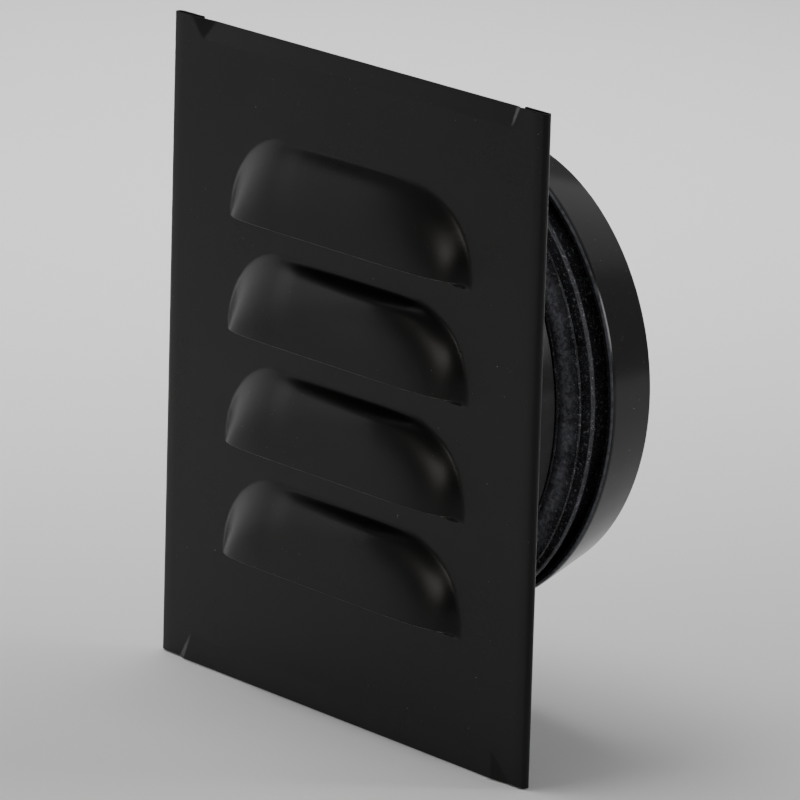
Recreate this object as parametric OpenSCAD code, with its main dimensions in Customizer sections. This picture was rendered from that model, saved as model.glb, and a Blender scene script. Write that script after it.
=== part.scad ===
// Louvred vent grille for a round duct.
// Frame: +X to the right, +Y to the rear (into the wall), +Z up. The origin is on the duct axis,
// in the plane of the wall: the rear faces of the side hems.

/* [Plate] */
// Width of the louvre plate
plate_w = 130; // [126:1:150]
// Height of the louvre plate
plate_h = 150; // [150:1:170]
// Thickness of the louvre plate's sheet
sheet_t = 0.6; // [0.5:0.05:0.7]
// Depth of the plate over its folded side hems
hem_depth = 2.2; // [2.1:0.05:2.4]
// Width of a hem's rear leg, measured from the plate's side edge
hem_leg = 8.8; // [6:0.1:9]
// Height of the duct axis above the middle of the plate
duct_rise = 3; // [0:0.5:5]

/* [Louvres] */
// Number of pressed hoods
louvre_count = 4; // [1:1:4]
// Width of a hood at its foot
louvre_w = 85; // [70:1:90]
// Height of a hood, which is also the radius of its upper corners
louvre_h = 19.6; // [17:0.1:21]
// How far a hood's lip stands out of the plate
louvre_out = 5; // [4.8:0.1:6]
// Distance from one hood to the next
louvre_pitch = 26.2; // [25:0.1:28]
// Height of the middle of the row of lips above the middle of the plate
louvre_mid = -5.95; // [-7:0.05:-5]

/* [Edge strips] */
// Height of the top strip, which is creased back between the hems
top_strip_h = 4.6; // [3:0.1:5]
// How far the top strip leans back at its edge
top_strip_back = 0.8; // [0.2:0.1:0.8]
// Height of the bottom strip, which is creased forward as a drip edge
bottom_strip_h = 6; // [4:0.1:7]
// How far the bottom strip leans forward at its edge
bottom_strip_out = 0.9; // [0.2:0.1:1.5]
// Half the distance between the points where the corner creases begin
crease_x = 54; // [52:0.5:55]
// Width of a corner crease at the plate's edge
crease_w = 6; // [3:0.5:7]

/* [Back plate] */
// Thickness of the back plate
back_t = 0.8; // [0.6:0.05:0.8]
// Gap between the back plate's upper edge and the plate's top edge
back_top_gap = 8; // [7:0.5:12]
// Gap between the back plate's lower edge and the plate's bottom edge
back_bottom_gap = 3; // [2:0.5:6]

/* [Spigot] */
// Outer radius of the spigot tube
spigot_r = 48.9; // [48:0.1:49.5]
// Wall of the spigot tube
spigot_t = 0.7; // [0.5:0.1:1]
// Length of the spigot behind the wall plane
spigot_l = 43; // [43:0.5:48]
// Radius of the flange that is welded to the back plate
flange_r = 56; // [53:0.5:58]

/* [Seal] */
// Radius of the seal's three lips when free
lip_r = 55; // [54:0.1:56]
// Radius of the smooth neck next to the plate
neck_r = 51.15; // [50.8:0.05:52]
// Radius of the seal at its rear rim
nose_r = 50.1; // [49.9:0.1:51]
// Length of the smooth neck
neck_l = 15.2; // [12:0.1:15.2]
// Position of the front lip's rim
lip_1_y = 19; // [18.8:0.1:19.2]
// Position of the middle lip's rim
lip_2_y = 22.5; // [22.3:0.1:22.8]
// Position of the rear lip's rim, from which the long cone runs back
lip_3_y = 28.3; // [27.5:0.1:29]

/* [Hidden] */
$fn = 64;

plate_z = -duct_rise;                    // middle of the plate
top_z = plate_z + plate_h / 2;
bottom_z = plate_z - plate_h / 2;
front_y = -hem_depth;                    // front face of the plate
bend_r = hem_depth / 2;                  // outer radius of the hem's fold
bend_x = plate_w / 2 - bend_r;           // centre line of the fold
lap = 0.2;                               // how far a hood's foot laps over the plate round its hole
straight = louvre_w / 2 - louvre_h;      // half length of a hood's straight part
function lip_z(i) = plate_z + louvre_mid + louvre_pitch * ((louvre_count - 1) / 2 - i);
back_y0 = -hem_depth / 2 - back_t / 2;   // front face of the back plate
back_y1 = back_y0 + back_t;              // rear face of the back plate
back_hx = bend_x - 1.3;                  // half width of the back plate

// Section of a hood: [distance in from its foot, height above the plate], as parts of the whole.
// It turns up sharply from the plate, then rounds over into a long, gentle slope.
RISE = [[0, 0], [0.02, 0], [0.04, 0.024], [0.06, 0.075], [0.09, 0.18], [0.13, 0.33], [0.18, 0.48],
        [0.25, 0.62], [0.35, 0.75], [0.5, 0.86], [0.7, 0.95], [1, 1]];

// Outer line of the section, then the inner line back, one sheet thickness behind it
function hood_line(dy) = [for (p = RISE) [louvre_h * (1 - p[0]), louvre_out * p[1] + dy]];
function reversed(v) = [for (i = [len(v) - 1:-1:0]) v[i]];
function hood_section() = concat(hood_line(hem_depth), reversed(hood_line(hem_depth - sheet_t)));

// One hood, with its lip at z = 0: a straight middle and two turned quarter ends
module hood() {
    translate([-straight, 0, 0]) rotate([180, -90, 0])
        linear_extrude(height = 2 * straight) polygon(hood_section());
    translate([straight, 0, 0]) rotate([90, 0, 0])
        rotate_extrude(angle = 90) polygon(hood_section());
    translate([-straight, 0, 0]) rotate([90, 0, 0]) rotate([0, 0, 90])
        rotate_extrude(angle = 90) polygon(hood_section());
}

// The opening in the flat sheet behind a hood, inside its foot by the lap
module hood_hole_2d() {
    translate([-straight, 0]) square([2 * straight, louvre_h - lap]);
    for (s = [-1, 1]) intersection() {
        translate([s * straight, 0]) circle(r = louvre_h - lap);
        translate([s > 0 ? straight - 0.01 : -straight - louvre_h, 0]) square([louvre_h + 0.01, louvre_h]);
    }
}

// The front sheet before the hoods are cut in: flat, with a strip creased back at the top edge and one
// creased forward at the bottom edge, each with a three-cornered facet at its ends
module sheet() {
    c = crease_w / 2;
    x = crease_x;
    f = [[-bend_x, 0, bottom_z], [-x - c, 0, bottom_z], [-x + c, -bottom_strip_out, bottom_z],
         [x - c, -bottom_strip_out, bottom_z], [x + c, 0, bottom_z], [bend_x, 0, bottom_z],
         [bend_x, 0, top_z], [x + c, 0, top_z], [x - c, top_strip_back, top_z],
         [-x + c, top_strip_back, top_z], [-x - c, 0, top_z], [-bend_x, 0, top_z],
         [-x, 0, bottom_z + bottom_strip_h], [x, 0, bottom_z + bottom_strip_h],
         [x, 0, top_z - top_strip_h], [-x, 0, top_z - top_strip_h]];
    front = [for (p = f) p + [0, front_y, 0]];
    rear = [for (p = f) p + [0, front_y + sheet_t, 0]];
    skin = [[0, 1, 12, 15, 10, 11], [12, 13, 14, 15], [4, 5, 6, 7, 14, 13], [1, 2, 12], [12, 2, 3, 13],
            [13, 3, 4], [7, 8, 14], [14, 8, 9, 15], [15, 9, 10]];
    polyhedron(points = concat(front, rear),
        faces = concat([for (q = skin) reversed(q)], [for (q = skin) [for (i = q) i + 16]],
                       [for (i = [0:11]) [i, (i + 1) % 12, (i + 1) % 12 + 16, i + 16]]));
}

// Side hem, folded round to the rear and left open as a channel
module hem() {
    linear_extrude(height = plate_h) {
        intersection() {
            difference() {
                translate([bend_x, -bend_r]) circle(r = bend_r);
                translate([bend_x, -bend_r]) circle(r = bend_r - sheet_t);
            }
            translate([bend_x, -hem_depth]) square([bend_r + 1, hem_depth]);
        }
        translate([plate_w / 2 - hem_leg, -sheet_t]) square([hem_leg - bend_r, sheet_t]);
    }
}

module louvre_plate() color("#1d1d1e") {
    difference() {
        sheet();
        for (i = [0:louvre_count - 1]) rotate([90, 0, 0]) translate([0, lip_z(i), hem_depth - sheet_t - 1])
            linear_extrude(height = sheet_t + 2) hood_hole_2d();
    }
    for (i = [0:louvre_count - 1]) translate([0, 0, lip_z(i)]) hood();
    translate([0, 0, bottom_z]) hem();
    translate([0, 0, bottom_z]) mirror([1, 0, 0]) hem();
}

module back_plate() color("#242425") {
    rotate([90, 0, 0]) translate([0, 0, -back_y1]) linear_extrude(height = back_t)
        difference() {
            translate([-back_hx, bottom_z + back_bottom_gap])
                square([2 * back_hx, plate_h - back_top_gap - back_bottom_gap]);
            circle(r = spigot_r + 0.05);
        }
}

// Tube with its flange against the rear of the back plate
module spigot() color("#2a2a2b") rotate([-90, 0, 0])
    rotate_extrude($fn = 128) polygon([
        [spigot_r - spigot_t, back_y0], [spigot_r, back_y0], [spigot_r, back_y1], [flange_r - 0.2, back_y1],
        [flange_r, back_y1 + 0.2], [flange_r, -0.2], [flange_r - 0.2, 0], [spigot_r, 0],
        [spigot_r, spigot_l], [spigot_r - spigot_t, spigot_l]]);

// Rubber seal: smooth neck, groove with a small bead, two short lips, and the long rear lip
module seal_ring() color("#151515") {
    bore = spigot_r + 0.05;
    sleeve = 50;
    a = neck_l;
    rear_y = spigot_l + 1;
    rotate([-90, 0, 0]) rotate_extrude($fn = 128) polygon([
        [bore, 0.1], [neck_r - 0.3, 0.1], [neck_r, 0.4], [neck_r, a - 0.25], [neck_r - 0.25, a],
        [sleeve, a + 0.1], [sleeve, a + 0.9], [sleeve + 0.5, a + 1], [sleeve + 0.6, a + 1.2],
        [sleeve + 0.5, a + 1.4], [sleeve, a + 1.5], [sleeve, lip_1_y - 1.75], [neck_r + 0.35, lip_1_y - 1.6],
        [lip_r - 0.15, lip_1_y - 0.1], [lip_r, lip_1_y + 0.05], [lip_r, lip_1_y + 0.5],
        [lip_r - 0.2, lip_1_y + 0.7], [sleeve + 0.6, lip_1_y - 0.1], [sleeve, lip_1_y + 0.3],
        [sleeve, lip_2_y - 2], [sleeve + 0.4, lip_2_y - 1.7], [lip_r - 0.15, lip_2_y - 0.1],
        [lip_r, lip_2_y + 0.05], [lip_r, lip_2_y + 1], [lip_r - 0.2, lip_2_y + 1.15],
        [sleeve + 0.6, lip_2_y + 0.1], [sleeve, lip_2_y + 0.5],
        [sleeve, rear_y - 4.2], [sleeve + 0.3, rear_y - 4.6], [lip_r - 1.6, lip_3_y + 0.5],
        [lip_r - 1.35, lip_3_y + 0.1], [lip_r - 0.9, lip_3_y], [lip_r - 0.4, lip_3_y + 0.1],
        [lip_r - 0.1, lip_3_y + 0.35], [lip_r, lip_3_y + 0.6], [lip_r, lip_3_y + 0.8],
        [nose_r, rear_y - 0.5], [nose_r - 0.15, rear_y - 0.15], [nose_r - 0.5, rear_y],
        [spigot_r - spigot_t + 0.35, rear_y], [spigot_r - spigot_t + 0.1, rear_y - 0.25],
        [spigot_r - spigot_t + 0.1, spigot_l + 0.05], [bore, spigot_l + 0.05]]);
}

louvre_plate();
back_plate();
spigot();
seal_ring();
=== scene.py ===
import math
import bpy
import numpy as np
from mathutils import Matrix, Vector


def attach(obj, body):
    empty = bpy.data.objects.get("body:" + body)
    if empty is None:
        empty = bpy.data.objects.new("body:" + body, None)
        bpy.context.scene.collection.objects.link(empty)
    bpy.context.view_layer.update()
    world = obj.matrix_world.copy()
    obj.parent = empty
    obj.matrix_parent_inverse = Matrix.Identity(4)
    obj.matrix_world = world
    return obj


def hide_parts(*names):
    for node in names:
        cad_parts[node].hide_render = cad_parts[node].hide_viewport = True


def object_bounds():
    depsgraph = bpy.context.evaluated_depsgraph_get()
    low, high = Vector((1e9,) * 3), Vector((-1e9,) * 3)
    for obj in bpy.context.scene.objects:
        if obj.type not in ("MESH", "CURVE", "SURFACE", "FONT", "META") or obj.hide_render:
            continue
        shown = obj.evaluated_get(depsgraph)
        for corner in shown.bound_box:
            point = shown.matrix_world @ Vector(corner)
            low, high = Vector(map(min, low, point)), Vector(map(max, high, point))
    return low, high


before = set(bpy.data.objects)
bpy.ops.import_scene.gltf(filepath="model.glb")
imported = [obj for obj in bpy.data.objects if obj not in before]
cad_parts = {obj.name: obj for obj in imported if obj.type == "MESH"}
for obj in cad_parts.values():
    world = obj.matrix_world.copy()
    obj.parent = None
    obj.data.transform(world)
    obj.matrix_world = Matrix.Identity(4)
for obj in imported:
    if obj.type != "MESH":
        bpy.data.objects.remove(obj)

before_lo, before_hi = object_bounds()

# ---------------------------------------------------------------- sizes, in mm, as in the part's source
PLATE_W, PLATE_H, SHEET = 130.0, 150.0, 0.6
PLATE_Z = -3.0
TOP_Z, BOTTOM_Z = PLATE_Z + PLATE_H / 2, PLATE_Z - PLATE_H / 2
FRONT_Y = -2.2
BEND_R, BEND_X = 1.1, 63.9
EASE = 0.10
HEM_LEG = 8.8
LIPS = [30.35, 4.15, -22.05, -48.25]
HOOD_W, HOOD_H, HOOD_OUT = 85.0, 19.6, 4.98
STRAIGHT = HOOD_W / 2 - HOOD_H
CUT_X = 37.6
rng = np.random.default_rng(11)


def smooth(t):
    t = np.clip(t, 0.0, 1.0)
    return t * t * (3 - 2 * t)


# how squarely each hood's top edge is pressed (0 rounded, 1 square), from the top hood down
SQUARE = {30.35: 0.12, 4.15: 1.0, -22.05: 0.80, -48.25: 0.62}


def hood_body(ax, x, upz, lip):
    """A hood's height above the plate: a broad dome over its rounded outline, with a short steep foot. Along the
    top edge the dome turns into a squarer shoulder, more so towards the right."""
    s = np.maximum(HOOD_H - np.hypot(np.maximum(ax - STRAIGHT, 0.0), upz), 0.0)
    right = smooth((x + 26) / 56)
    q = 2.3 + SQUARE[lip] * 0.8 * (0.4 + 0.6 * right)
    p = 3.8 + 1.5 * (1 - smooth((x + 10) / 20)) - (0.4 + 0.8 * (x < 0)) * smooth(upz / 10)
    u = np.maximum(1 - (ax / 42.8) ** p - (upz / 19.9) ** q, 0.0)
    depth = HOOD_OUT * 1.036 - (0.033 + 0.016 * (1 - right)) * upz - 0.003 * upz * upz
    dome = depth * (1 - np.exp(-(u / (0.45 + 0.0054 * upz)) ** 1.472)) * (1 - np.exp(-(s / 0.86) ** (1.49 - 0.34 * smooth((x - 22) / 14))))
    square = HOOD_OUT + 0.02 - 0.30 * (upz / 16) - 0.35 * (upz / 16) ** 2
    square = square * (1 - np.exp(-(s / 2.15) ** 2.3))
    m = SQUARE[lip] * (0.25 + 0.75 * smooth((x + 26) / 44)) * (1 - smooth((ax - 12) / 24))
    body = np.maximum(dome + (square - dome) * m * smooth(upz / 12), 1e-6)
    # the left end has a plainer conical wall, steep at the lip and flatter higher up, with a ridge above it
    cone = np.maximum((0.46 + 0.50 * np.exp(-upz / 4.0)) * s * s / (s + 0.4), 1e-6)
    roll = 0.972 * depth * (1 - 0.60 * np.exp(-s / 4.6))
    end = (roll ** -5.0 + cone ** -5.0) ** (-1 / 5.0)
    return body + (end - body) * smooth((-x - 15) / 15)


def hood_height(x, z, lip, side):
    """How far one hood stands out of the plate at x, z. side picks the upper or lower edge of the cut."""
    ax = np.abs(x)
    dz = z - lip
    body = hood_body(ax, x, np.maximum(dz, 0.0), lip)
    # below the lip's height: closed beyond the cut, and drawn out a little next to its ends
    zero = np.zeros_like(ax)
    end = hood_body(ax, x, zero, lip)
    end_cut = hood_body(zero + CUT_X, x, zero, lip)
    close = 1 - smooth(-dz / 1.7)
    low = np.where(ax >= CUT_X, end, end_cut * (1 - smooth((CUT_X - ax) / 2.6))) * close
    upper = (dz > 1e-6) | ((np.abs(dz) <= 1e-6) & (side > 0))
    return np.where(upper, body, low)


def strip_lean(x, z):
    """Rearward offset of the front face from the creased strips at the top and bottom edges."""
    ax = np.abs(x)
    out = np.zeros_like(x)
    # where each strip ends, left and right: how far the end leans outwards, and half its width at the edge
    for edge, h, lean, ends in ((TOP_Z, 4.6, 0.78, ((0.2, 3.7), (1.7, 0.65))),
                                (BOTTOM_Z, 6.0, -0.88, ((2.5, 0.95), (3.6, 2.2)))):
        base = edge - h if edge > 0 else edge + h
        t = (z - base) / (edge - base)
        tc = np.clip(t, 0, 1)
        f = np.where(t < 0.06, np.maximum(t + 0.06, 0) ** 2 / 0.24, t)      # a small bend radius at the crease
        shift = np.where(x < 0, ends[0][0], ends[1][0])
        half = 0.25 + np.where(x < 0, ends[0][1], ends[1][1]) * tc
        q = (54.0 + shift * tc + half - ax) / (2 * half)
        soft = np.clip(q, 0, 1)
        edge_r = 0.07
        soft = soft + np.where(np.abs(q) < edge_r, (edge_r - np.abs(q)) ** 2 / (4 * edge_r), 0) \
            - np.where(np.abs(q - 1) < edge_r, (edge_r - np.abs(q - 1)) ** 2 / (4 * edge_r), 0)
        out += lean * np.clip(f, 0, 1.05) * soft
    return out


def waviness(x, z):
    """The sheet isn't quite flat: drawn in round the hoods, and eased down towards the folds."""
    ax = np.abs(x)
    near = np.exp(-((ax - 12) / 34) ** 2) * np.exp(-((z + 6) / 52) ** 2)
    broad = 0.10 * near
    ripple = 0.012 * np.sin(x / 17.0 + 0.7) * np.sin(z / 23.0 + 0.4) + 0.008 * np.sin(x / 9.0 - z / 13.0)
    ease = np.where(ax > 61.2, EASE * ((ax - 61.2) / (BEND_X - 61.2)) ** 2, 0.0)
    return ease - broad + ripple * (1 - smooth((ax - 56) / 6))


def sheet_point(u, z, side):
    """Outer face of the folded sheet. u runs from one rear leg's inner edge round to the other's."""
    u = np.asarray(u, float)
    z = np.asarray(z, float)
    arc = math.pi * BEND_R
    a = np.abs(u)
    sgn = np.where(u < 0, -1.0, 1.0)
    th = np.clip((a - BEND_X) / BEND_R, 0, math.pi)
    flat = a <= BEND_X
    leg = a >= BEND_X + arc
    x = np.where(flat, a, np.where(leg, BEND_X - (a - BEND_X - arc), BEND_X + BEND_R * np.sin(th)))
    y = np.where(flat, 0.0, np.where(leg, -FRONT_Y, BEND_R - BEND_R * np.cos(th)))
    # the fold starts from the eased edge of the front face
    y = np.where(flat, y, y + EASE * (1 - smooth(th / 1.6)) * np.where(leg, 0, 1))
    x = x * sgn
    h = np.zeros_like(x)
    for lip in LIPS:
        near = (z > lip - 3.2) & (z < lip + HOOD_H + 0.5) & flat
        h = h + np.where(near, hood_height(x, z, lip, side), 0.0)
    lean = np.where(flat, strip_lean(x, z) + waviness(x, z), 0.0)
    return np.stack([x, FRONT_Y + y + lean - h, z], -1)


def sheet_normal(u, z, side, e=0.03):
    dz_lo = np.full_like(z, -e)
    dz_hi = np.full_like(z, e)
    for lip in LIPS:
        on = np.abs(z - lip) < 1e-6
        dz_lo = np.where(on & (side > 0), 0.0, dz_lo)
        dz_hi = np.where(on & (side < 0), 0.0, dz_hi)
    cut = (np.abs(u) < CUT_X + 1e-6)
    dz_lo = np.where(cut, dz_lo, -e)
    dz_hi = np.where(cut, dz_hi, e)
    sd = np.where(side > 0, 1.0, -1.0)
    pu = sheet_point(u + e, z, sd) - sheet_point(u - e, z, sd)
    pz = sheet_point(u, z + dz_hi, sd) - sheet_point(u, z + dz_lo, sd)
    n = np.cross(pu, pz)
    return n / np.linalg.norm(n, axis=-1, keepdims=True)


def ticks(*parts):
    """Parts are (start, end, step): one increasing list with each part's ends kept."""
    out = []
    for a, b, step in parts:
        n = max(1, int(round((b - a) / step)))
        out += list(np.linspace(a, b, n + 1)[:-1])
    return out + [parts[-1][1]]


class Builder:
    """Collects vertices, faces and corner normals, in mm."""

    def __init__(self):
        self.v, self.f, self.n = [], [], []
        self.rear = set()
        self.count = 0

    def add(self, pts, nrm):
        pts = np.asarray(pts, float).reshape(-1, 3)
        start = self.count
        self.v.append(pts)
        self.n.append(np.asarray(nrm, float).reshape(-1, 3))
        self.count += len(pts)
        return start

    def grid(self, pts, nrm, flip=False, wrap=False):
        r, c = pts.shape[:2]
        s = self.add(pts, nrm)
        cols = c if wrap else c - 1
        for i in range(r - 1):
            for j in range(cols):
                k = (j + 1) % c
                q = [s + i * c + j, s + i * c + k, s + (i + 1) * c + k, s + (i + 1) * c + j]
                self.f.append(q[::-1] if flip else q)

    def mesh(self, name):
        # the rounded cut edges and the sheet's slight waves stay inside the CAD model's box
        v = np.clip(np.concatenate(self.v) / 1000.0, np.array(list(before_lo)) + 1e-6, np.array(list(before_hi)) - 1e-6)
        n = np.concatenate(self.n)
        me = bpy.data.meshes.new(name)
        me.from_pydata([tuple(p) for p in v], [], self.f)
        me.update()
        me.polygons.foreach_set("use_smooth", [True] * len(me.polygons))
        n = n / np.maximum(np.linalg.norm(n, axis=1, keepdims=True), 1e-9)
        me.normals_split_custom_set_from_vertices([tuple(p) for p in n])
        ob = bpy.data.objects.new(name, me)
        bpy.context.scene.collection.objects.link(ob)
        return ob


def rim(b, front, rear, out, n_front, n_rear, r=0.14, steps=4):
    """Closes the sheet along an open edge with a rounded edge. out: unit direction away from the sheet."""
    t = rear - front
    th = np.linalg.norm(t, axis=-1, keepdims=True)
    t = t / th
    rows, nrm = [], []
    for i in range(steps + 1):
        a = math.pi / 2 * i / steps
        rows.append(front + t * r * (1 - math.cos(a)) + out * r * math.sin(a))
        nrm.append(-t * math.cos(a) + out * math.sin(a))
    nrm[0] = n_front
    for i in range(steps + 1):
        a = math.pi / 2 * (1 - i / steps)
        rows.append(rear - t * r * (1 - math.cos(a)) + out * r * math.sin(a))
        nrm.append(t * math.cos(a) + out * math.sin(a))
    nrm[-1] = n_rear
    return np.stack(rows), np.stack(nrm)


def build_louvre_plate():
    b = Builder()
    arc = math.pi * BEND_R
    r = 0.14
    leg = [round(v, 5) for v in np.linspace(BEND_X + arc, BEND_X + arc + HEM_LEG - BEND_R - r, 4)[1:]]
    arcs = list(np.linspace(BEND_X, BEND_X + arc, 15)[1:])
    side = ticks((19.0, 31.0, 1.0), (31.0, CUT_X, 0.5), (CUT_X, 43.6, 0.43), (43.6, 50.0, 1.3), (50.0, 53.6, 0.9), (53.6, 57.6, 0.36), (57.6, 59.8, 0.55),
                 (59.8, BEND_X, 0.4))
    half = side + arcs + leg
    mid = ticks((-19.0, 19.0, 2.0))[1:-1]
    us = np.array([-v for v in reversed(half)] + list(mid) + half)
    zs = ticks((BOTTOM_Z + r, BOTTOM_Z + 6.6, 0.5), (BOTTOM_Z + 6.6, LIPS[3] - 3.0, 2.4))
    for i, lip in enumerate(reversed(LIPS)):
        zs = zs[:-1] + ticks((lip - 3.0, lip, 0.3), (lip, lip + 1.2, 0.4), (lip + 1.2, lip + 11.0, 1.1),
                             (lip + 11.0, lip + 20.0, 0.47), (lip + 20.0, lip + 26.2 - 3.0, 1.2))
    zs = zs[:-1] + ticks((zs[-1], TOP_Z - 5.4, 2.2), (TOP_Z - 5.4, TOP_Z - r, 0.42))
    zs = np.array(zs)
    # rows: each lip's row is there twice, once for the hood's edge and once for the plate's
    rows, sides = [], []
    for z in zs:
        if any(abs(z - lip) < 1e-6 for lip in LIPS):
            rows += [z, z]
            sides += [-1, 1]
        else:
            rows.append(z)
            sides.append(1)
    rows, sides = np.array(rows), np.array(sides, float)
    U, Z = np.meshgrid(us, rows)
    S = np.repeat(sides[:, None], len(us), 1)
    P = sheet_point(U, Z, S)
    N = sheet_normal(U, Z, S)
    # the rear skin lies one sheet thickness behind the front face, along its normal
    R = P - N * SHEET
    nr, nc = U.shape
    s = b.add(P, N)
    s2 = b.add(R, -N)
    idx = lambda i, j: i * nc + j
    in_cut = np.abs(us) <= CUT_X + 1e-6
    for i in range(nr - 1):
        double = abs(rows[i + 1] - rows[i]) < 1e-6
        for j in range(nc - 1):
            if double:
                continue
            a, c, d, e = idx(i, j), idx(i, j + 1), idx(i + 1, j + 1), idx(i + 1, j)
            b.f.append([s + a, s + c, s + d, s + e])
            b.rear.add(len(b.f))
            b.f.append([s2 + e, s2 + d, s2 + c, s2 + a])
    # open edges
    def close(front, rear, out, nf, nrr, flip):
        pts, nn = rim(b, front, rear, out, nf, nrr, r)
        b.grid(pts, nn, flip=flip)
    down, up = np.array([0, 0, -1.0]), np.array([0, 0, 1.0])
    close(P[0], R[0], np.broadcast_to(down, P[0].shape), N[0], -N[0], True)
    close(P[-1], R[-1], np.broadcast_to(up, P[-1].shape), N[-1], -N[-1], False)
    for j, sg in ((0, 1.0), (-1, -1.0)):
        close(P[:, j], R[:, j], np.broadcast_to(np.array([sg, 0, 0]), P[:, j].shape), N[:, j], -N[:, j], j == 0)
    cols = np.where(in_cut)[0]
    for i in range(nr - 1):
        if abs(rows[i + 1] - rows[i]) < 1e-6:
            lo, hi = i, i + 1
            # fade the rounding out towards the ends of the cut, where the two edges meet
            fade = np.clip((CUT_X - np.abs(us[cols])) / 1.2, 0.0, 1.0)[:, None]
            close(P[hi][cols], R[hi][cols], down * fade, N[hi][cols], -N[hi][cols], True)
            close(P[lo][cols], R[lo][cols], up * fade * 0.6, N[lo][cols], -N[lo][cols], False)
    return b.mesh("louvre_sheet"), b.rear


def revolve(profile, name, seg=288, close_loop=True):
    """A closed section of (radius, y) turned about Y. Each point is (r, y, rounding)."""
    pts = []
    n = len(profile)
    for i in range(n):
        p = np.array(profile[i][:2], float)
        rd = profile[i][2] if len(profile[i]) > 2 else 0.0
        a = np.array(profile[i - 1][:2], float)
        c = np.array(profile[(i + 1) % n][:2], float)
        if rd <= 0:
            pts.append(p)
            continue
        da, dc = a - p, c - p
        la, lc = np.linalg.norm(da), np.linalg.norm(dc)
        da, dc = da / la, dc / lc
        ang = math.acos(np.clip(np.dot(da, dc), -1, 1))
        t = min(rd / max(math.tan(ang / 2), 1e-4), la * 0.48, lc * 0.48)
        p0, p1 = p + da * t, p + dc * t
        k = 5 if rd > 0.12 else 3
        for q in range(k + 1):
            w = q / k
            pts.append((1 - w) ** 2 * p0 + 2 * w * (1 - w) * p + w * w * p1)
    pts = np.array(pts)
    m = len(pts)
    nrm = []
    for i in range(m):
        d0 = pts[i] - pts[i - 1]
        d1 = pts[(i + 1) % m] - pts[i]
        l0, l1 = np.linalg.norm(d0), np.linalg.norm(d1)
        # weight by the longer neighbour, so that long walls keep their own direction
        d = d0 / max(l0, 1e-9) * l0 + d1 / max(l1, 1e-9) * l1
        d = d / max(np.linalg.norm(d), 1e-9)
        nrm.append([d[1], -d[0]])
    nrm = np.array(nrm)
    area = 0.5 * np.sum(pts[:, 0] * np.roll(pts[:, 1], -1) - np.roll(pts[:, 0], -1) * pts[:, 1])
    if area < 0:
        nrm = -nrm
    # (r, y) with the circle run from +X to +Z is left-handed, so the faces turn the other way round
    b = Builder()
    ang = np.linspace(0, 2 * math.pi, seg, endpoint=False)
    ca, sa = np.cos(ang), np.sin(ang)
    P = np.stack([pts[:, 0:1] * ca, np.repeat(pts[:, 1:2], seg, 1), pts[:, 0:1] * sa], -1)
    Nn = np.stack([nrm[:, 0:1] * ca, np.repeat(nrm[:, 1:2], seg, 1), nrm[:, 0:1] * sa], -1)
    P = np.concatenate([P, P[:1]])
    Nn = np.concatenate([Nn, Nn[:1]])
    b.grid(P, Nn, flip=area > 0, wrap=True)
    return b.mesh(name)


def build_seal():
    bore, sleeve, neck, lip, nose = 48.97, 50.0, 51.15, 54.98, 50.1
    prof = [
        (bore, 0.12, 0.05), (neck, 0.12, 0.35), (neck, 15.2, 0.22), (50.95, 15.35, 0.0), (sleeve, 15.45, 0.12),
        (sleeve, 16.0, 0.1), (50.62, 16.15, 0.16), (50.62, 16.75, 0.16), (sleeve, 16.9, 0.1),
        (sleeve, 17.25, 0.1), (51.5, 17.45, 0.25), (lip - 0.1, 18.95, 0.12), (lip, 19.45, 0.16), (lip - 0.28, 19.72, 0.1),
        (50.6, 18.95, 0.25), (sleeve, 19.3, 0.2),
        (sleeve, 20.5, 0.2), (50.45, 20.85, 0.2), (lip - 0.12, 22.4, 0.1), (lip, 22.62, 0.1), (lip, 23.45, 0.14),
        (lip - 0.22, 23.66, 0.06), (50.6, 22.65, 0.25), (sleeve, 23.0, 0.2),
        (sleeve, 39.8, 0.2), (50.3, 39.4, 0.2), (lip - 1.6, 28.8, 0.2), (lip - 1.25, 28.34, 0.14), (lip - 0.4, 28.34, 0.25),
        (lip - 0.06, 28.7, 0.3), (lip - 0.1, 29.5, 3.2), (nose, 43.6, 0.3), (nose - 0.5, 43.98, 0.16), (48.6, 43.98, 0.12), (48.32, 43.7, 0.1),
        (48.32, 43.06, 0.0), (bore, 43.06, 0.0),
    ]
    return revolve(prof, "lip_seal")


# ---------------------------------------------------------------- materials
def new_mat(name):
    m = bpy.data.materials.new(name)
    m.use_nodes = True
    nt = m.node_tree
    nt.nodes.clear()
    out = nt.nodes.new("ShaderNodeOutputMaterial")
    bs = nt.nodes.new("ShaderNodeBsdfPrincipled")
    nt.links.new(bs.outputs[0], out.inputs[0])
    return m, nt, bs


def N(nt, kind, **kw):
    n = nt.nodes.new(kind)
    for k, v in kw.items():
        if k.startswith("in_"):
            n.inputs[int(k[3:]) if k[3:].isdigit() else k[3:]].default_value = v
        else:
            setattr(n, k, v)
    return n


def noise(nt, vec, scale, detail=4.0, rough=0.55, dist=0.0):
    n = nt.nodes.new("ShaderNodeTexNoise")
    n.inputs["Scale"].default_value = scale
    n.inputs["Detail"].default_value = detail
    n.inputs["Roughness"].default_value = rough
    n.inputs["Distortion"].default_value = dist
    nt.links.new(vec, n.inputs["Vector"])
    return n.outputs["Fac"]


def remap(nt, val, a, b, c, d):
    m = nt.nodes.new("ShaderNodeMapRange")
    m.inputs[1].default_value, m.inputs[2].default_value = a, b
    m.inputs[3].default_value, m.inputs[4].default_value = c, d
    m.clamp = True
    nt.links.new(val, m.inputs[0])
    return m.outputs[0]


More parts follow.
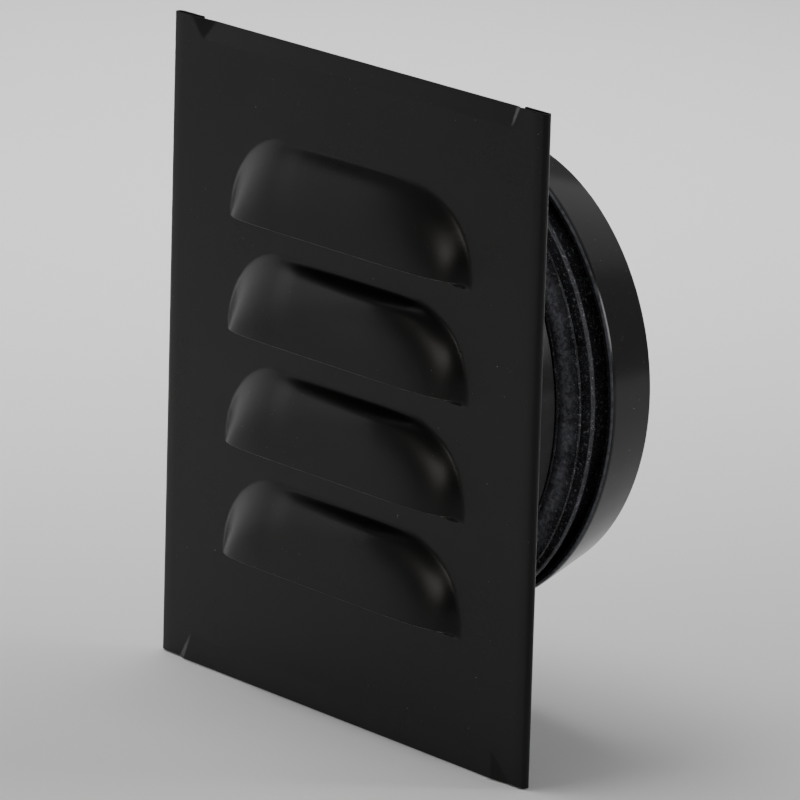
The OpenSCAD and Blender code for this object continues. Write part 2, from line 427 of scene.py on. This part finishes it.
def math_node(nt, op, a, b=None):
    m = nt.nodes.new("ShaderNodeMath")
    m.operation = op
    for i, v in enumerate((a, b)):
        if v is None:
            continue
        if isinstance(v, (int, float)):
            m.inputs[i].default_value = v
        else:
            nt.links.new(v, m.inputs[i])
    return m.outputs[0]


def band(nt, val, lo, hi, soft):
    """1 between lo and hi, falling to 0 over soft on either side."""
    return math_node(nt, "MULTIPLY", remap(nt, val, lo - soft, lo, 0.0, 1.0), remap(nt, val, hi, hi + soft, 1.0, 0.0))


def mix_col(nt, fac, a, b):
    m = nt.nodes.new("ShaderNodeMix")
    m.data_type = "RGBA"
    if isinstance(fac, (int, float)):
        m.inputs[0].default_value = fac
    else:
        nt.links.new(fac, m.inputs[0])
    for s, v in ((6, a), (7, b)):
        if isinstance(v, tuple):
            m.inputs[s].default_value = v
        else:
            nt.links.new(v, m.inputs[s])
    return m.outputs[2]


def coords(nt):
    tc = nt.nodes.new("ShaderNodeTexCoord")
    return tc.outputs["Object"]


def lip_edges(nt, v):
    """Mask of the sheared lower edges of the hoods, where the bare sheet shows."""
    sep = nt.nodes.new("ShaderNodeSeparateXYZ")
    nt.links.new(v, sep.inputs[0])
    nrm = nt.nodes.new("ShaderNodeSeparateXYZ")
    nt.links.new(nt.nodes.new("ShaderNodeTexCoord").outputs["Normal"], nrm.inputs[0])
    near = None
    for lip in LIPS:
        d = math_node(nt, "ABSOLUTE", math_node(nt, "SUBTRACT", sep.outputs["Z"], lip / 1000.0))
        near = d if near is None else math_node(nt, "MINIMUM", near, d)
    near = remap(nt, near, 0.00030, 0.00036, 1.0, 0.0)
    down = remap(nt, nrm.outputs["Z"], -0.80, -0.55, 1.0, 0.0)
    out = remap(nt, sep.outputs["Y"], (FRONT_Y - 2.3) / 1000.0, (FRONT_Y - 1.6) / 1000.0, 1.0, 0.0)
    m = math_node(nt, "MULTIPLY", math_node(nt, "MULTIPLY", near, down), out)
    worn = remap(nt, noise(nt, v, 260.0, 3.0, 0.6), 0.40, 0.56, 0.25, 1.0)
    return math_node(nt, "MULTIPLY", m, worn)


def paint_mat(name, base=(0.0040, 0.0038, 0.0037, 1), rough=0.30, lips=False, ior=1.29):
    """Satin black powder coat: fine orange peel, slow gloss changes and a little dust."""
    m, nt, bs = new_mat(name)
    v = coords(nt)
    peel = noise(nt, v, 900.0, 3.0, 0.5)
    slow = noise(nt, v, 28.0, 3.0, 0.5)
    fine = noise(nt, v, 4200.0, 2.0, 0.5)
    dust = noise(nt, v, 2600.0, 1.0, 0.4)
    speck = remap(nt, dust, 0.785, 0.81, 0.0, 1.0)
    patch = remap(nt, noise(nt, v, 34.0, 2.0, 0.5), 0.42, 0.62, 0.15, 1.0)
    speck = math_node(nt, "MULTIPLY", speck, patch)
    speck = math_node(nt, "MULTIPLY", speck, 0.5)
    grit = remap(nt, noise(nt, v, 1150.0, 1.0, 0.4), 0.822, 0.835, 0.0, 0.85)
    speck = math_node(nt, "MAXIMUM", speck, math_node(nt, "MULTIPLY", grit, patch))
    tone = mix_col(nt, remap(nt, slow, 0.35, 0.65, 0.0, 1.0), tuple(base), (base[0] * 1.25, base[1] * 1.25, base[2] * 1.25, 1))
    col = mix_col(nt, speck, tone, (0.26, 0.25, 0.24, 1))
    nt.links.new(col, bs.inputs["Base Color"])
    bare = lip_edges(nt, v) if lips else None
    if lips:
        col = mix_col(nt, bare, col, (0.34, 0.33, 0.31, 1))
        nt.links.new(col, bs.inputs["Base Color"])
    rr = remap(nt, slow, 0.3, 0.7, rough - 0.03, rough + 0.03)
    rr = math_node(nt, "ADD", rr, remap(nt, fine, 0.3, 0.7, -0.015, 0.015))
    nt.links.new(rr, bs.inputs["Roughness"])
    bs.inputs["IOR"].default_value = ior
    bump = nt.nodes.new("ShaderNodeBump")
    bump.inputs["Strength"].default_value = 0.35
    bump.inputs["Distance"].default_value = 0.00002
    nt.links.new(math_node(nt, "ADD", peel, math_node(nt, "MULTIPLY", fine, 0.4)), bump.inputs["Height"])
    nt.links.new(bump.outputs[0], bs.inputs["Normal"])
    return m


def rubber_mat(name):
    """Moulded black rubber: smooth and fairly glossy on the outer bands, with dust and specks in the grooves, and
    painted highlights as lighter lines on the lip rims.
    """
    m, nt, bs = new_mat(name)
    v = coords(nt)
    sep = nt.nodes.new("ShaderNodeSeparateXYZ")
    nt.links.new(v, sep.inputs[0])
    y = sep.outputs["Y"]
    slow = noise(nt, v, 40.0, 3.0, 0.5)
    fine = noise(nt, v, 3000.0, 2.0, 0.5)
    r2 = math_node(nt, "ADD", math_node(nt, "MULTIPLY", sep.outputs["X"], sep.outputs["X"]),
                   math_node(nt, "MULTIPLY", sep.outputs["Z"], sep.outputs["Z"]))
    r = math_node(nt, "SQRT", r2)
    # dust: thick on the first lip's front, thinner down in the grooves; on the neck a faint lighter film is painted
    # sheen
    face = band(nt, y, 0.01740, 0.01880, 0.00018)
    low = math_node(nt, "MULTIPLY", band(nt, y, 0.0166, 0.0390, 0.0008), remap(nt, r, 0.0503, 0.0506, 1.0, 0.0))
    groove = math_node(nt, "MAXIMUM", band(nt, y, 0.0166, 0.0280, 0.0008), low)
    neck = band(nt, y, 0.0, 0.0150, 0.0004)
    cloud = noise(nt, v, 150.0, 4.0, 0.65)
    d1 = noise(nt, v, 1300.0, 3.0, 0.6)
    d2 = noise(nt, v, 3300.0, 2.0, 0.5)
    big = remap(nt, d1, 0.60, 0.68, 0.0, 0.75)
    small = remap(nt, d2, 0.61, 0.68, 0.0, 0.6)
    specks = math_node(nt, "MAXIMUM", big, small)
    face = math_node(nt, "MULTIPLY", face, remap(nt, r, 0.0528, 0.0542, 1.0, 0.35))
    thick = math_node(nt, "MULTIPLY", face, math_node(nt, "ADD", remap(nt, cloud, 0.32, 0.68, 0.11, 0.45),
                                               remap(nt, noise(nt, v, 900.0, 5.0, 0.75), 0.42, 0.66, 0.0, 0.62)))
    thin = math_node(nt, "MULTIPLY", groove, math_node(nt, "ADD", remap(nt, cloud, 0.35, 0.7, 0.02, 0.14), specks))
    # painted sheen: a faint lighter film over the neck that stands in for its reflected light
    neck_painted_sheen = math_node(nt, "MULTIPLY", neck, remap(nt, cloud, 0.3, 0.7, 0.02, 0.07))
    dust_and_painted_light = math_node(nt, "MAXIMUM", math_node(nt, "MAXIMUM", thick, thin), neck_painted_sheen)
    # painted highlights: lighter lines on the lip rims, where the rims catch the light
    rim_highlight_radii = math_node(nt, "MAXIMUM", remap(nt, r, 0.05440, 0.05455, 0.0, 1.0), band(nt, r, 0.05360, 0.05378, 0.00008))
    rim_highlight = math_node(nt, "MULTIPLY", rim_highlight_radii, band(nt, y, 0.02800, 0.02870, 0.00012))
    rim2_highlight = math_node(nt, "MULTIPLY", remap(nt, r, 0.05470, 0.05480, 0.0, 1.0), band(nt, y, 0.02236, 0.02256, 0.00008))
    rim_highlight = math_node(nt, "MAXIMUM", math_node(nt, "MULTIPLY", rim_highlight, 0.45), math_node(nt, "MULTIPLY", rim2_highlight, 0.45))
    rim_highlight = math_node(nt, "MULTIPLY", rim_highlight, remap(nt, noise(nt, v, 700.0, 2.0, 0.5), 0.3, 0.6, 0.4, 1.0))
    # from here the mask holds the dust together with the painted neck sheen and the painted rim highlights
    dust_and_painted_light = math_node(nt, "MAXIMUM", dust_and_painted_light, rim_highlight)
    few = remap(nt, noise(nt, v, 1900.0, 1.0, 0.4), 0.775, 0.80, 0.0, 0.5)
    dust_and_painted_light = math_node(nt, "MAXIMUM", dust_and_painted_light, few)
    dust_and_painted_light = math_node(nt, "MINIMUM", dust_and_painted_light, 1.0)
    col = mix_col(nt, dust_and_painted_light, (0.0056, 0.0056, 0.0058, 1), (0.27, 0.275, 0.31, 1))
    nt.links.new(col, bs.inputs["Base Color"])
    base_r = remap(nt, slow, 0.3, 0.7, 0.16, 0.20)
    rough = math_node(nt, "ADD", base_r, math_node(nt, "MULTIPLY", groove, 0.25))
    rough = math_node(nt, "ADD", rough, math_node(nt, "MULTIPLY", dust_and_painted_light, 0.5))
    nt.links.new(rough, bs.inputs["Roughness"])
    bs.inputs["IOR"].default_value = 1.25
    bump = nt.nodes.new("ShaderNodeBump")
    bump.inputs["Strength"].default_value = 0.25
    bump.inputs["Distance"].default_value = 0.00002
    nt.links.new(math_node(nt, "ADD", fine, math_node(nt, "MULTIPLY", dust_and_painted_light, 3.0)), bump.inputs["Height"])
    nt.links.new(bump.outputs[0], bs.inputs["Normal"])
    return m


def set_mat(ob, mat):
    ob.data.materials.clear()
    ob.data.materials.append(mat)


paint = paint_mat("paint_front", lips=True)
# the same black paint with a lighter base colour for the rear faces, back plate and spigot: painted light that lifts
# the unlit back
paint_rear_lightened = paint_mat("paint_rear_lightened", base=(0.018, 0.0177, 0.0173, 1), rough=0.36, ior=1.45)
rubber = rubber_mat("rubber_seal")

plate, plate_rear = build_louvre_plate()
set_mat(plate, paint)
plate.data.materials.append(paint_rear_lightened)
plate.data.polygons.foreach_set("material_index", [int(i in plate_rear) for i in range(len(plate.data.polygons))])
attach(plate, "root")
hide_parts("louvre_plate")

seal = build_seal()
set_mat(seal, rubber)
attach(seal, "root")
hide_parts("seal_ring")

# the back plate and spigot take the lightened rear paint, painted light
for node in ("back_plate", "spigot"):
    set_mat(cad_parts[node], paint_rear_lightened)

# ---------------------------------------------------------------- camera, at the photo's viewing angle
AZ, EL, ROLL = math.radians(50.926), math.radians(14.445), math.radians(1.537)
DIST, FPX, CX, CY = 1599.12, 7216.8, -54.97, 7.31
back = Vector((math.cos(EL) * math.sin(AZ), -math.cos(EL) * math.cos(AZ), math.sin(EL)))
right = Vector((math.cos(AZ), math.sin(AZ), 0.0))
up = back.cross(right)
r2 = right * math.cos(ROLL) + up * math.sin(ROLL)
u2 = up * math.cos(ROLL) - right * math.sin(ROLL)
target = Vector((0, FRONT_Y, PLATE_Z)) / 1000.0
cam_data = bpy.data.cameras.new("camera")
cam = bpy.data.objects.new("camera", cam_data)
bpy.context.scene.collection.objects.link(cam)
cam.matrix_world = Matrix((
    (r2.x, u2.x, back.x, 0), (r2.y, u2.y, back.y, 0), (r2.z, u2.z, back.z, 0), (0, 0, 0, 1)))
cam.location = target + back * (DIST / 1000.0)
cam_data.sensor_fit = "HORIZONTAL"
cam_data.sensor_width = 36.0
cam_data.lens = FPX / 800.0 * 36.0
cam_data.shift_x = -CX / 800.0
cam_data.shift_y = -CY / 800.0
cam_data.clip_start, cam_data.clip_end = 0.05, 50.0
cam_data.dof.use_dof = False
bpy.context.scene.camera = cam

# ---------------------------------------------------------------- floor, backdrop and light
def stage_mat(name, col, rough=0.6):
    m, nt, bs = new_mat(name)
    bs.inputs["Base Color"].default_value = (*col, 1)
    bs.inputs["Roughness"].default_value = rough
    bs.inputs["Specular IOR Level"].default_value = 0.2
    return m


def quad(name, pts, mat):
    me = bpy.data.meshes.new(name)
    me.from_pydata([tuple(p) for p in pts], [], [tuple(range(len(pts)))])
    me.update()
    ob = bpy.data.objects.new(name, me)
    bpy.context.scene.collection.objects.link(ob)
    ob.data.materials.append(mat)
    return ob


FLOOR_Z = (BOTTOM_Z - 0.3) / 1000.0
quad("floor", [(-4, -4, FLOOR_Z), (4, -4, FLOOR_Z), (4, 0.66, FLOOR_Z), (-4, 0.80, FLOOR_Z)],
     stage_mat("floor_white", (0.82, 0.82, 0.82)))


def light(kind, name, loc, aim, power, col=(1, 1, 1), size=None, size_y=None, cone=None, blend=0.5):
    d = bpy.data.lights.new(name, kind)
    d.energy = power
    d.color = col
    if kind == "AREA":
        d.size = size
        if size_y:
            d.shape = "RECTANGLE"
            d.size_y = size_y
    else:
        d.shadow_soft_size = size
        d.spot_size = math.radians(cone)
        d.spot_blend = blend
    o = bpy.data.objects.new(name, d)
    bpy.context.scene.collection.objects.link(o)
    o.location = loc
    o.rotation_mode = "QUATERNION"
    o.rotation_quaternion = (Vector(aim) - Vector(loc)).to_track_quat("-Z", "Y")
    o.visible_camera = False
    return o


# pools of light on the floor, low soft panels at the left and behind, a soft box in front, a strip behind the seal
light("SPOT", "floor_back", (-0.45, 0.45, 1.30), (-0.45, 0.45, FLOOR_Z), 74.0, size=0.3, cone=49, blend=0.82)
light("SPOT", "floor_left", (-0.62, 0.15, 1.30), (-0.62, 0.15, FLOOR_Z), 26.0, size=0.2, cone=46, blend=0.45)
light("SPOT", "floor_front", (-0.42, -0.42, 1.25), (0.01, -0.21, FLOOR_Z), 90.0, size=0.6, cone=43, blend=1.0)
light("SPOT", "floor_right", (0.66, -0.40, 1.30), (0.66, -0.40, FLOOR_Z), 50.0, size=0.2, cone=43, blend=0.9)
light("SPOT", "floor_rear", (0.62, 0.48, 1.30), (0.62, 0.48, FLOOR_Z), 60.0, size=0.2, cone=43, blend=0.9)
light("AREA", "panel_left", (-0.90, -0.375, 0.19), (0, -0.375, 0.19), 1.50, size=0.87, size_y=0.54)
light("AREA", "box_front", (-0.175, -1.115, 0.24), (0, 0, 0), 1.5, (1.0, 0.96, 0.88), size=0.35, size_y=0.25)
light("AREA", "panel_back", (-0.10, 1.36, 1.12), (0, 0, 0.1), 2.3, size=1.4, size_y=1.4)
light("AREA", "strip_back", (0.79, 0.906, 0.36), (0, 0, 0.02), 4.3, size=0.24, size_y=0.42)

world = bpy.data.worlds.new("world")
bpy.context.scene.world = world
world.use_nodes = True
wt = world.node_tree
bg = wt.nodes["Background"]
bg.inputs[0].default_value = (1, 1, 1, 1)
# a dim room, with a bright wall at the right and a weaker one behind
wsep = wt.nodes.new("ShaderNodeSeparateXYZ")
wt.links.new(wt.nodes.new("ShaderNodeTexCoord").outputs["Generated"], wsep.inputs[0])
wall_right = math_node(wt, "MULTIPLY", remap(wt, wsep.outputs["X"], 0.60, 0.78, 0.0, 1.0),
                       remap(wt, wsep.outputs["Y"], -0.25, 0.30, 0.12, 1.0))
wall_right = remap(wt, wall_right, 0.0, 1.0, 0.13, 0.66)
wall_back = math_node(wt, "MULTIPLY", remap(wt, wsep.outputs["Y"], 0.3, 0.8, 0.0, 1.0),
                      remap(wt, wsep.outputs["X"], -0.6, -0.3, 0.0, 1.0))
wall_back = remap(wt, wall_back, 0.0, 1.0, 0.13, 0.33)
wt.links.new(math_node(wt, "MAXIMUM", wall_right, wall_back), bg.inputs[1])
